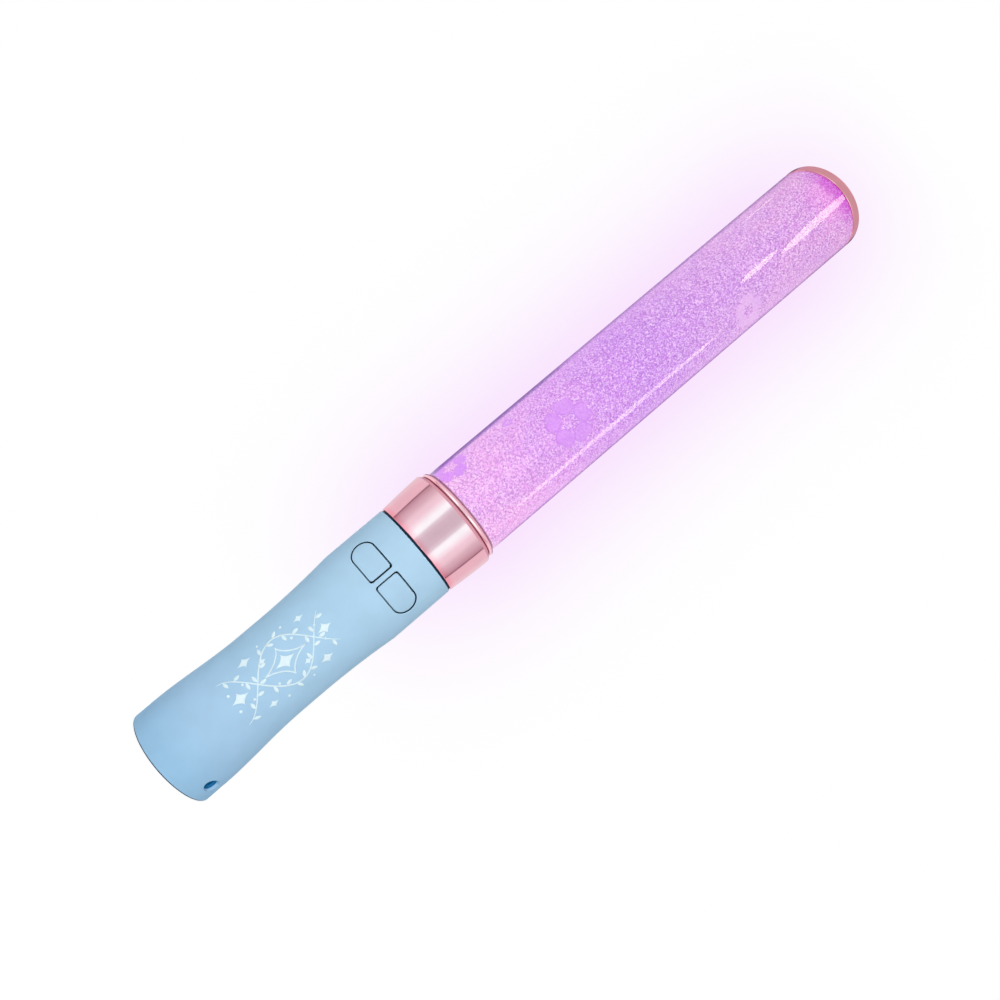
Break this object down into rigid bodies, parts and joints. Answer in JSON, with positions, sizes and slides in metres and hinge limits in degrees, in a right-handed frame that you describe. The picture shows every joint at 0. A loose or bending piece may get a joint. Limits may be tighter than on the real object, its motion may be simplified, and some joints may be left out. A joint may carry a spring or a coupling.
{
  "type": "led light stick",
  "caption": "Hand-held LED light stick: waisted handle with push buttons and a twist-off battery cap, mirror collar, and a clear capped tube around a glowing film.",
  "frame": {"origin": "centre of the handle's base, on the surface that the stick stands on", "axes": "+Z along the stick towards the lit end, -Y the side that the buttons face, +X to the right of the buttons"},
  "size_m": [0.0316, 0.0316, 0.25],
  "materials": {
    "blue_soft_touch": "matte",
    "blue_button": "matte",
    "rose_mirror": "polished",
    "rose_satin": "satin",
    "clear_plastic": "gloss",
    "glowing_film": "satin",
    "white_plastic": "satin",
    "black_plastic": "satin",
    "grey_foam": "matte",
    "cell_jacket": "gloss",
    "steel": "satin",
    "brass": "satin",
    "board_green": "satin",
    "board_white": "satin",
    "emitter_yellow": "gloss",
    "lens_clear": "gloss",
    "mirror_disc": "polished",
    "lead_red": "satin",
    "lead_black": "satin"
  },
  "bodies": {
    "stick": {"handle_grip": "blue_soft_touch", "collar": "rose_mirror", "trim_ring": "rose_satin", "light_tube": "clear_plastic", "film_sleeve": "glowing_film", "tip_reflector": "mirror_disc", "end_cap": "rose_mirror", "battery_holder": "black_plastic", "cell_1": "cell_jacket", "cell_2": "cell_jacket", "cell_3": "cell_jacket", "cell_spring_1": "steel", "cell_spring_2": "steel", "cell_spring_3": "steel", "lower_link_plate": "brass", "lower_end_plate": "brass", "upper_link_plate": "brass", "upper_end_plate": "brass", "centre_terminal": "brass", "ring_terminal": "brass", "centre_contact": "brass", "side_contact": "brass", "board_carrier": "white_plastic", "driver_board": "board_green", "controller_chip": "black_plastic", "left_switch": "black_plastic", "right_switch": "black_plastic", "board_screw_lower": "steel", "board_screw_upper": "steel", "lamp_holder": "white_plastic", "holder_screw_left": "steel", "holder_screw_right": "steel", "lamp_lead_red": "lead_red", "lamp_lead_black": "lead_black", "lamp_board": "board_white", "lamp_emitter": "emitter_yellow", "condenser_lens": "lens_clear"},
    "left_key": {"left_button": "blue_button", "left_plunger": "white_plastic"},
    "right_key": {"right_button": "blue_button", "right_plunger": "white_plastic"},
    "base_cap": {"battery_cap": "blue_soft_touch", "cap_cushion": "grey_foam"}
  },
  "joints": [
    {"name": "left_button_press", "type": "slide", "parent": "stick", "child": "left_key", "axis": [0, 1, 0], "range_m": [0, 0.0005], "stiffness_N_per_m": 1000},
    {"name": "right_button_press", "type": "slide", "parent": "stick", "child": "right_key", "axis": [0, 1, 0], "range_m": [0, 0.0005], "stiffness_N_per_m": 1000},
    {"name": "battery_cap_turn", "type": "hinge", "parent": "stick", "child": "base_cap", "pos_m": [0, 0, 0], "axis": [0, 0, 1], "range_deg": [0, 45]}
  ]
}
